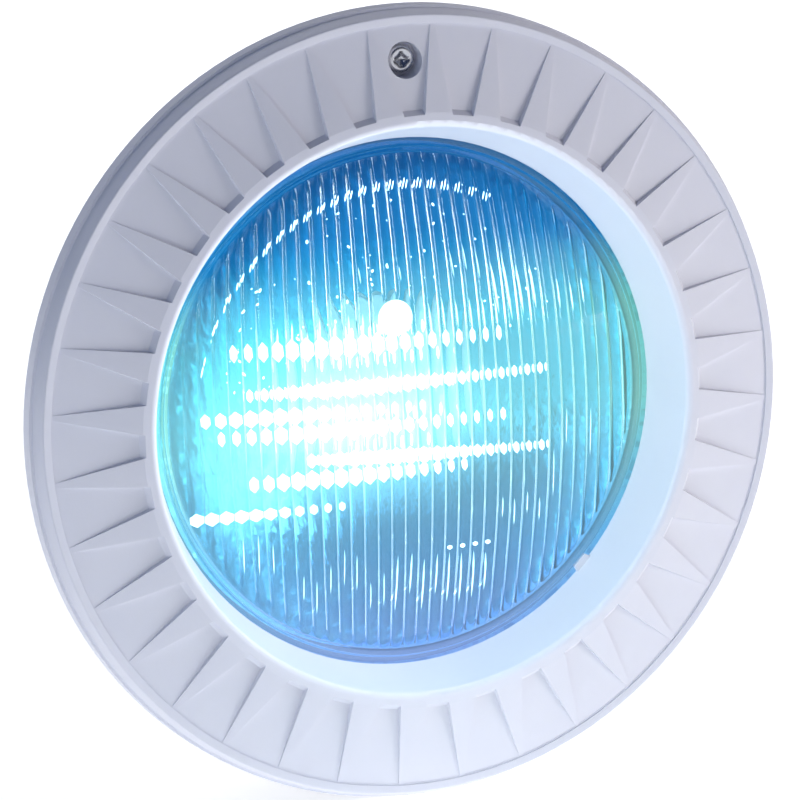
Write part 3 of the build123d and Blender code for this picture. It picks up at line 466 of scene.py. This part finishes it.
def build_lens():
    """The fluted inner face, the plain rim and the smooth dome, as one closed mesh."""
    count = int(round(2 * FLUTED_RADIUS / FLUTE_PITCH)) * FLUTE_STEPS
    vertices, faces, grid = [], [], []
    for i in range(count + 1):
        u = -FLUTED_RADIUS + 2 * FLUTED_RADIUS * i / count
        edge = i in (0, count)
        if edge:
            u -= math.copysign(EDGE_INSET, u)
        reach = column_reach(u)
        rise = flute_rise(u)
        column = []
        for j in range(LENS_ROWS + 1):
            z = -reach + 2 * reach * j / LENS_ROWS
            x = flute_x(u, z)
            if edge:
                x = math.copysign(math.sqrt(FLUTED_RADIUS**2 - z**2), u)
            column.append(len(vertices))
            vertices.append((x, inner_face(x, z, rise), z))
        grid.append(column)
    for i in range(count):
        for j in range(LENS_ROWS):
            faces.append((grid[i][j], grid[i][j + 1], grid[i + 1][j + 1], grid[i + 1][j]))
    edge_loop = [grid[i][LENS_ROWS] for i in range(count + 1)]
    edge_loop += [grid[count][j] for j in range(LENS_ROWS - 1, -1, -1)]
    edge_loop += [grid[i][0] for i in range(count - 1, -1, -1)]
    edge_loop += [grid[0][j] for j in range(1, LENS_ROWS)]
    angles = [math.atan2(vertices[k][0], vertices[k][2]) for k in edge_loop]

    section = [
        (FLUTED_RADIUS, LENS_REAR_Y - LENS_BEVEL),
        (FLUTED_RADIUS + LENS_BEVEL, LENS_REAR_Y),
        (LENS_RADIUS - LENS_BEVEL, LENS_REAR_Y),
        (LENS_RADIUS, LENS_REAR_Y - LENS_BEVEL),
        (LENS_RADIUS, LENS_RIM_Y + LENS_BEVEL),
        (LENS_RADIUS - LENS_BEVEL, LENS_RIM_Y),
        (CLEAR_RADIUS + LENS_BEVEL, LENS_RIM_Y),
        (CLEAR_RADIUS, LENS_RIM_Y - LENS_BEVEL),
        (DOME_EDGE_RADIUS + 0.1 * MM, DOME_EDGE_Y + LENS_BEVEL),
    ]
    section += [
        (r, sphere_y(DOME_SPHERE, r))
        for r in (DOME_EDGE_RADIUS * (1.0 - (k / DOME_LOOPS) ** 1.1) for k in range(DOME_LOOPS))
        if r > 1.0 * MM
    ]
    previous = edge_loop
    for radius, y in section:
        loop = []
        for angle in angles:
            loop.append(len(vertices))
            vertices.append((radius * math.sin(angle), y, radius * math.cos(angle)))
        for k in range(len(loop)):
            n = (k + 1) % len(loop)
            faces.append((previous[k], previous[n], loop[n], loop[k]))
        previous = loop
    pole = len(vertices)
    vertices.append((0.0, LENS_FRONT_Y, 0.0))
    for k in range(len(previous)):
        faces.append((previous[k], previous[(k + 1) % len(previous)], pole))
    lens = new_piece("lens_fluted", vertices, faces, lens_clear, sharp=50.0)
    work = bmesh.new()
    work.from_mesh(lens.data)
    bmesh.ops.recalc_face_normals(work, faces=work.faces)
    work.to_mesh(lens.data)
    work.free()
    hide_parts("lens")


build_lens()


# ---------------------------------------------------------------- pilot screw with its thread
THREAD_PITCH = 1.06 * MM
THREAD_ROOT = 1.86 * MM
THREAD_CREST = 2.38 * MM
THREAD_LENGTH = 25.0 * MM
THREAD_FLAT = 1.25          # the crest is flattened by this factor
THREAD_START_RUNOUT = 1.5 * MM
THREAD_TIP_RUNOUT = 0.9 * MM
THREAD_SIDES = 36
THREAD_STEPS = 8            # rows in each turn
SHANK_CUT = 0.5 * MM        # the plain shank ends this far before the thread
THREAD_OVERLAP = 1.0 * MM   # and the thread's root reaches this far into it


def thread_radius(y, turn, start, stop):
    """Radius of a vee thread with a flattened crest, which runs out at both ends."""
    phase = ((y / THREAD_PITCH) - turn) % 1.0
    height = 1.0 - abs(2.0 * phase - 1.0)
    height = min(1.0, height * THREAD_FLAT)
    runout = smooth_step(start, start + THREAD_START_RUNOUT, y)
    runout *= 1.0 - smooth_step(stop - THREAD_TIP_RUNOUT, stop, y)
    return THREAD_ROOT + (THREAD_CREST - THREAD_ROOT) * height * runout


def cut_plain_shank(work, y):
    """Takes the CAD screw's shank away behind y and closes its end."""
    bmesh.ops.remove_doubles(work, verts=work.verts, dist=1e-6)
    cut = bmesh.ops.bisect_plane(
        work, geom=work.verts[:] + work.edges[:] + work.faces[:],
        plane_co=(0.0, y, 0.0), plane_no=(0.0, 1.0, 0.0), clear_outer=True,
    )
    bmesh.ops.edgeloop_fill(work, edges=[e for e in cut["geom_cut"] if isinstance(e, bmesh.types.BMEdge)])


def add_thread(work, start, stop, axis_z):
    """Loops round the axis, whose radii follow the helix, closed at both ends."""
    rows = int(round(THREAD_LENGTH / THREAD_PITCH * THREAD_STEPS))
    previous = None
    for k in range(rows + 2):
        y = start - THREAD_OVERLAP if k == 0 else start + THREAD_LENGTH * (k - 1) / rows
        loop = []
        for i in range(THREAD_SIDES):
            turn = i / THREAD_SIDES
            radius = THREAD_ROOT if k == 0 else thread_radius(y, turn, start, stop)
            angle = 2 * math.pi * turn
            place = (radius * math.sin(angle), y, axis_z + radius * math.cos(angle))
            loop.append(work.verts.new(place))
        if previous is None:
            work.faces.new(loop)
        else:
            for i in range(THREAD_SIDES):
                n = (i + 1) % THREAD_SIDES
                work.faces.new((previous[i], previous[n], loop[n], loop[i]))
        previous = loop
    work.faces.new(list(reversed(previous)))


def build_pilot_screw():
    """The CAD screw's head and neck, with a real helical thread behind them."""
    stop = screw_high.y
    start = stop - THREAD_LENGTH
    work = bmesh.new()
    work.from_mesh(nodes["pilot_screw"].data)
    cut_plain_shank(work, start - SHANK_CUT)
    add_thread(work, start, stop, (screw_low.z + screw_high.z) / 2)
    bmesh.ops.recalc_face_normals(work, faces=work.faces)
    mesh = bpy.data.meshes.new("pilot_screw_threaded")
    work.to_mesh(mesh)
    work.free()
    mesh.shade_smooth()
    mesh.set_sharp_from_angle(angle=math.radians(35.0))
    mesh.materials.append(stainless.material)
    screw = bpy.data.objects.new("pilot_screw_threaded", mesh)
    bpy.context.scene.collection.objects.link(screw)
    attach(screw, "pilot_screw")
    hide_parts("pilot_screw")


build_pilot_screw()


# ---------------------------------------------------------------- painted LED glow on the optics
LED_PITCH = 11.3 * MM
LED_RINGS = 2
PIP_RADIUS = 2.3 * MM
PIP_RISE = 0.7 * MM
PIP_SIDES, PIP_LOOPS = 24, 5


def led_spots():
    spots = []
    for row in range(-LED_RINGS, LED_RINGS + 1):
        count = 2 * LED_RINGS + 1 - abs(row)
        for i in range(count):
            spots.append(((i - (count - 1) / 2) * LED_PITCH, row * LED_PITCH * math.cos(math.radians(30.0))))
    return spots


def build_spots():
    """A small glowing pip at the centre of each optic: a painted image of its LED."""
    vertices, faces = [], []
    base_y = optic_low.y
    for cx, cz in led_spots():
        rows = []
        for k in range(PIP_LOOPS):
            t = k / PIP_LOOPS
            radius = PIP_RADIUS * math.cos(t * math.pi / 2)
            y = base_y - PIP_RISE * math.sin(t * math.pi / 2)
            row = []
            for s in range(PIP_SIDES):
                a = 2 * math.pi * s / PIP_SIDES
                row.append(len(vertices))
                vertices.append((cx + radius * math.sin(a), y, cz + radius * math.cos(a)))
            rows.append(row)
        pole = len(vertices)
        vertices.append((cx, base_y - PIP_RISE, cz))
        foot = len(vertices)
        vertices.append((cx, base_y, cz))
        for low, high in zip(rows, rows[1:]):
            for s in range(PIP_SIDES):
                n = (s + 1) % PIP_SIDES
                faces.append((low[s], low[n], high[n], high[s]))
        for s in range(PIP_SIDES):
            n = (s + 1) % PIP_SIDES
            faces.append((rows[-1][s], rows[-1][n], pole))
            faces.append((rows[0][n], rows[0][s], foot))
    new_piece("optic_pips", vertices, faces, painted_led_glow)


build_spots()


# ---------------------------------------------------------------- prisms inside the lens that glow with painted light
PRISM_SEAT = 0.45           # where prisms stand, as a share of the flutes' depth
PRISM_WAIST = 0.45          # height of the two side corners, and size of the flat top, as shares
PRISM_TOP_WIDTH, PRISM_TOP_HEIGHT = 0.35, 0.6


def lozenge(vertices, faces, x, z, half_width, half_height, lift, lean=0.0):
    """A small faceted prism on the lens's inner face: six-sided outline and a smaller flat top."""
    base = sphere_y(DOME_SPHERE - LENS_WALL, min(math.hypot(x, z), FLUTED_RADIUS)) + FLUTE_DEPTH * PRISM_SEAT
    outline = [(0, 1), (1, PRISM_WAIST), (1, -PRISM_WAIST), (0, -1), (-1, -PRISM_WAIST), (-1, PRISM_WAIST)]
    first = len(vertices)
    for a, b in outline:
        px = x + a * half_width + b * half_height * lean
        vertices.append((px, base, z + b * half_height))
    for a, b in outline:
        px = x + PRISM_TOP_WIDTH * a * half_width + PRISM_TOP_HEIGHT * b * half_height * lean
        vertices.append((px, base + lift, z + PRISM_TOP_HEIGHT * b * half_height))
    count = len(outline)
    faces.append([first + k for k in range(count)])
    faces.append([first + count + k for k in reversed(range(count))])
    for k in range(count):
        n = (k + 1) % count
        faces.append((first + n, first + k, first + count + k, first + count + n))


def flute_centres():
    half = int(FLUTED_RADIUS / FLUTE_PITCH)
    return [(k + 0.5) * FLUTE_PITCH for k in range(-half, half)]


# Rows of painted images, one to a flute, that stand for the image each flute makes of the LED rows:
# height, slope, first and last place across, half height, place of the widest image, small twin beside each
IMAGE_ROWS = (
    (22.5, -0.025, -66.0, 34.0, 2.7, -26.0, False),
    (8.5, -0.018, -60.0, 48.0, 2.1, -18.0, True),
    (0.5, -0.020, -74.0, 4.0, 2.0, -46.0, False),
    (-5.6, -0.018, -72.0, 37.0, 2.3, -30.0, False),
    (-16.5, -0.055, -40.0, 49.0, 2.0, -10.0, True),
    (-21.5, -0.010, -62.0, 22.0, 2.2, -30.0, False),
    (-31.0, 0.010, -78.0, -26.0, 1.5, -70.0, False),
)
LOW_ROW = (-50.5, 0.0, 9.0, 30.0, 0.8, 0.0, False)
IMAGE_HALF_WIDTH, IMAGE_WIDEST = 0.9 * MM, 2.35 * MM
IMAGE_SPREAD = 30.0 * MM    # how far from its widest place a row swells
IMAGE_LIFT, TWIN_LIFT = 0.5 * MM, 0.4 * MM
IMAGE_LEAN = -0.05
TWIN_OFFSET = 0.45 * FLUTE_PITCH
SPOT_LIFT = 0.9 * MM
SPOT_SINK = 0.1 * MM        # how far the round boss starts inside the lens
SPOT_SIDES = 40
SPOT_LOOPS = 6


def round_spot(vertices, faces, x, z, radius, lift):
    """A shallow round boss inside the lens, over the window, which glows as the painted image of the LED
    behind it.
    """
    base = sphere_y(DOME_SPHERE - LENS_WALL, math.hypot(x, z)) - SPOT_SINK
    previous = None
    for k in range(SPOT_LOOPS):
        t = k / SPOT_LOOPS * math.pi / 2
        loop = []
        for i in range(SPOT_SIDES):
            angle = 2 * math.pi * i / SPOT_SIDES
            loop.append(len(vertices))
            reach = radius * math.cos(t)
            place = (x + reach * math.sin(angle), base + lift * math.sin(t), z + reach * math.cos(angle))
            vertices.append(place)
        if previous is None:
            faces.append(loop)
        else:
            for i in range(SPOT_SIDES):
                n = (i + 1) % SPOT_SIDES
                faces.append((previous[n], previous[i], loop[i], loop[n]))
        previous = loop
    pole = len(vertices)
    vertices.append((x, base + lift, z))
    for i in range(SPOT_SIDES):
        faces.append((previous[(i + 1) % SPOT_SIDES], previous[i], pole))


def build_images():
    """Rows of glowing diamonds, one to a flute, painted images of the LED rows, which swell and merge
    towards each row's widest place.
    """
    vertices, faces = [], []
    for row in IMAGE_ROWS + (LOW_ROW,):
        height, slope, start, stop, half, peak, twin = row
        gain = 0.0 if row is LOW_ROW else 1.0
        for u in flute_centres():
            if not start * MM <= u <= stop * MM:
                continue
            z = height * MM + slope * u
            swell = 1.0 + gain * math.exp(-((u - peak * MM) / IMAGE_SPREAD) ** 2)
            wide, tall = min(IMAGE_HALF_WIDTH * swell**1.6, IMAGE_WIDEST), half * MM * swell**0.7
            lozenge(vertices, faces, flute_x(u, z), z, wide, tall, IMAGE_LIFT, lean=IMAGE_LEAN)
            if twin:
                side = flute_x(u + TWIN_OFFSET, z)
                lozenge(vertices, faces, side, z, 0.5 * wide, 0.75 * tall, TWIN_LIFT, lean=IMAGE_LEAN)
    round_spot(vertices, faces, WINDOW.x, WINDOW.z, WINDOW_RADIUS, SPOT_LIFT)
    new_piece("lens_row_prisms", vertices, faces, painted_led_image, smooth=False)


ARC_RADIUS = 75.0 * MM
ARC_START, ARC_STOP = -76.0, 27.0      # degrees from the top
ARC_OFFSETS = (-1.25, -0.1, 0.95)      # mm from a flute's centre
ARC_HALF_WIDTH, ARC_LIFT = 0.22 * MM, 0.35 * MM
ARC_LEAN = 0.25


def build_arc():
    """Groups of fine glowing dashes along a circle, three to a flute: painted glints."""
    vertices, faces = [], []
    for u in flute_centres():
        for offset in ARC_OFFSETS:
            x = u + offset * MM
            if abs(x) >= ARC_RADIUS:
                continue
            z = math.sqrt(ARC_RADIUS**2 - x**2)
            if not ARC_START <= math.degrees(math.atan2(x, z)) <= ARC_STOP:
                continue
            tall = (2.1 - 0.5 * abs(offset)) * MM
            middle = z - abs(offset) * 0.25 * MM
            lozenge(vertices, faces, x, middle, ARC_HALF_WIDTH, tall, ARC_LIFT, lean=ARC_LEAN)
    new_piece("lens_arc_prisms", vertices, faces, painted_glint, smooth=False)


SPECK_SEED = 20
SPECK_COUNT = 90
SPECK_ANGLES = (-80.0, 62.0)           # degrees from the top
SPECK_RADII = (40.0, 71.0)             # mm from the axis
SPECK_SIZES = (0.14, 0.42)             # mm, half width


def build_specks():
    """Irregular specks of painted light, painted glints, in the upper half, between the arc and the rows."""
    vertices, faces = [], []
    draw = random.Random(SPECK_SEED)
    for _ in range(SPECK_COUNT):
        angle = math.radians(draw.uniform(*SPECK_ANGLES))
        radius = draw.uniform(*SPECK_RADII) * MM
        x, z = radius * math.sin(angle), radius * math.cos(angle)
        size = draw.uniform(*SPECK_SIZES) * MM
        tall = size * draw.uniform(0.8, 2.4)
        lozenge(vertices, faces, x, z, size, tall, size * 0.6, lean=draw.uniform(-0.6, 0.6))
    new_piece("lens_specks", vertices, faces, painted_glint, smooth=False)


STREAK_SEED = 7
STREAK_WANDER = 0.3                    # mm to either side of a flute's centre
STREAK_LENGTHS = (0.7, 1.1)            # shares of the band's half length
STREAK_EDGE, STREAK_LIFT = 3.0 * MM, 0.3 * MM
STREAK_BANDS = (
    # first and last place across, lowest and highest middle, half length, half width, lean, share of flutes
    (29.0, 51.0, 35.0, 37.0, 11.0, 0.40, -0.13, 1.0),
    (56.0, 72.0, 30.0, 32.0, 6.0, 0.26, -0.10, 1.0),
    (4.0, 34.0, 28.0, 30.0, 6.5, 0.28, -0.08, 1.0),
    (-52.0, -10.0, 23.0, 29.0, 5.5, 0.34, 0.03, 1.0),
    (-22.0, 0.0, 45.0, 49.0, 3.2, 0.18, -0.12, 0.9),
    (16.0, 30.0, 45.0, 49.0, 4.5, 0.18, -0.14, 1.0),
    (31.0, 50.0, -38.0, -42.0, 5.5, 0.20, 0.06, 1.0),
    (50.0, 72.0, -14.0, -30.0, 9.0, 0.16, 0.05, 0.8),
    (-8.0, 30.0, -58.0, -63.0, 9.0, 0.28, 0.09, 1.0),
    (-66.0, -12.0, -52.0, -66.0, 6.0, 0.18, 0.04, 0.8),
    (-76.0, -48.0, -42.0, -48.0, 7.0, 0.18, 0.0, 0.9),
)


def build_streaks():
    """Thin upright slivers of painted light along the flutes, above and below the rows."""
    vertices, faces = [], []
    draw = random.Random(STREAK_SEED)
    for start, stop, low, high, half, wide, lean, share in STREAK_BANDS:
        for u in flute_centres():
            place = u + draw.uniform(-STREAK_WANDER, STREAK_WANDER) * MM
            middle, length = draw.uniform(low, high) * MM, half * draw.uniform(*STREAK_LENGTHS) * MM
            if draw.random() > share or not start * MM <= u <= stop * MM:
                continue
            x = flute_x(place, middle)
            if math.hypot(x, abs(middle) + length) > FLUTED_RADIUS - STREAK_EDGE:
                continue
            lozenge(vertices, faces, x, middle, wide * MM, length, STREAK_LIFT, lean=lean)
    new_piece("lens_streak_prisms", vertices, faces, painted_streak, smooth=False)


build_images()
build_streaks()
build_arc()
build_specks()


# ---------------------------------------------------------------- stage, lights and camera
FLOOR_REACH = 12.0
FLOOR_GAP = 0.5 * MM         # between the floor and the ring's lowest point


def build_floor():
    z = ring_low.z - FLOOR_GAP
    mesh = bpy.data.meshes.new("floor")
    corners = [(-1, -1), (1, -1), (1, 1), (-1, 1)]
    mesh.from_pydata([(x * FLOOR_REACH, y * FLOOR_REACH, z) for x, y in corners], [], [(0, 1, 2, 3)])
    floor = bpy.data.objects.new("floor", mesh)
    bpy.context.scene.collection.objects.link(floor)
    look = Shader("floor_pale", (0.93, 0.93, 0.94), 0.7)
    look.mottle((0.93, 0.93, 0.94), (0.92, 0.92, 0.93), 2.0)
    look.set("Emission Color", (0.97, 0.98, 1.0, 1.0))
    look.set("Emission Strength", 0.64)
    mesh.materials.append(look.material)


WORLD_STRENGTH = 0.15
WALL_TINTS = ((0.0, (0.03, 0.22, 0.70)), (0.5, (0.24, 0.30, 0.62)), (1.0, (0.95, 0.92, 0.98)))
HORIZON_TINT = (4.6, 4.6, 4.75)
HORIZON_FADE = ((0.05, 0.0), (0.12, 1.0), (1.0, 1.0))


def colour_ramp(tree, source, stops):
    """Colour ramp of three stops."""
    made = tree.nodes.new("ShaderNodeValToRGB")
    tree.links.new(source, made.inputs["Fac"])
    points = made.color_ramp.elements
    points.new(stops[1][0])
    for point, (place, colour) in zip(points, stops):
        point.position = place
        point.color = (*colour, 1.0)
    return made.outputs["Color"]


def build_world():
    """A pale horizon under soft walls that are blue to the left and white to the right."""
    world = bpy.data.worlds.new("studio")
    bpy.context.scene.world = world
    world.use_nodes = True
    tree = world.node_tree
    background = tree.nodes["Background"]
    direction = tree.nodes.new("ShaderNodeSeparateXYZ")
    coords = tree.nodes.new("ShaderNodeTexCoord").outputs["Generated"]
    tree.links.new(coords, direction.inputs["Vector"])
    across = tree.nodes.new("ShaderNodeMapRange")
    across.inputs["From Min"].default_value = -1.0
    across.inputs["From Max"].default_value = 1.0
    tree.links.new(direction.outputs["X"], across.inputs["Value"])
    walls = colour_ramp(tree, across.outputs["Result"], WALL_TINTS)
    fade = [(place, (grey, grey, grey)) for place, grey in HORIZON_FADE]
    height = colour_ramp(tree, direction.outputs["Z"], fade)
    blend = tree.nodes.new("ShaderNodeMix")
    blend.data_type = "RGBA"
    tree.links.new(height, blend.inputs[0])
    blend.inputs[6].default_value = (*HORIZON_TINT, 1.0)
    tree.links.new(walls, blend.inputs[7])
    tree.links.new(blend.outputs[2], background.inputs["Color"])
    background.inputs["Strength"].default_value = WORLD_STRENGTH


LAMPS = (
    # name, place, where it points, size, watts, colour, spread in degrees
    ("key", (1.9, -1.0, 0.0), (0.0, 0.0, -0.02), 1.0, 26.0, (1.0, 0.955, 0.97), 180.0),
    ("fill", (-1.9, -0.9, 0.3), (0.0, 0.0, 0.0), 1.4, 3.0, (0.22, 0.55, 1.0), 180.0),
    ("rear", (0.3, 2.9, 2.6), (0.3, 1.5, -0.14), 2.6, 42.0, (0.98, 0.985, 1.0), 110.0),
)
LENS_GLOW_WATTS = 0.25
LENS_GLOW_COLOUR = (0.76, 0.90, 0.97)
LENS_GLOW_PLACE = (0.0, LENS_FRONT_Y - 35.0 * MM, -25.0 * MM)


def add_lamp(name, data, place):
    lamp = bpy.data.objects.new(name, data)
    bpy.context.scene.collection.objects.link(lamp)
    lamp.location = place
    lamp.visible_glossy = False
    return lamp


def build_lights():
    """Three soft discs, and a small lamp before the lens for the light that it throws on its ring."""
    for name, place, target, size, power, colour, spread in LAMPS:
        data = bpy.data.lights.new(name, "AREA")
        data.shape = "DISK"
        data.size = size
        data.energy = power
        data.color = colour
        data.spread = math.radians(spread)
        lamp = add_lamp(name, data, place)
        lamp.rotation_euler = (Vector(target) - Vector(place)).to_track_quat("-Z", "Y").to_euler()
    data = bpy.data.lights.new("lens_glow", "POINT")
    data.shadow_soft_size = 0.03
    data.energy = LENS_GLOW_WATTS
    data.color = LENS_GLOW_COLOUR
    glow = add_lamp("lens_glow", data, LENS_GLOW_PLACE)
    glow.visible_camera = False
    glow.visible_transmission = False


AZIMUTH, ELEVATION, ROLL = math.radians(-22.25), math.radians(11.59), math.radians(-2.34)
DISTANCE = 2.225
TARGET = Vector((0.0, FRONT_RIM_Y, 0.0))
LENS_LENGTH = 296.8          # mm, on a sensor 36 mm wide
SHIFT_X, SHIFT_Y = -0.0208, 0.00965


def build_camera():
    flat_reach = math.cos(ELEVATION)
    back = Vector((math.sin(AZIMUTH) * flat_reach, -math.cos(AZIMUTH) * flat_reach, math.sin(ELEVATION)))
    right = Vector((0.0, 0.0, 1.0)).cross(back).normalized()
    up = back.cross(right)
    tilted_right = math.cos(ROLL) * right + math.sin(ROLL) * up
    tilted_up = -math.sin(ROLL) * right + math.cos(ROLL) * up
    data = bpy.data.cameras.new("camera")
    data.sensor_width = 36.0
    data.lens = LENS_LENGTH
    data.shift_x = SHIFT_X
    data.shift_y = SHIFT_Y
    data.clip_end = 100.0
    camera = bpy.data.objects.new("camera", data)
    bpy.context.scene.collection.objects.link(camera)
    turn = Matrix((tilted_right, tilted_up, back)).transposed().to_4x4()
    camera.matrix_world = Matrix.Translation(TARGET + back * DISTANCE) @ turn
    bpy.context.scene.camera = camera


build_floor()
build_world()
build_lights()
build_camera()
bpy.context.scene.view_settings.view_transform = "Standard"
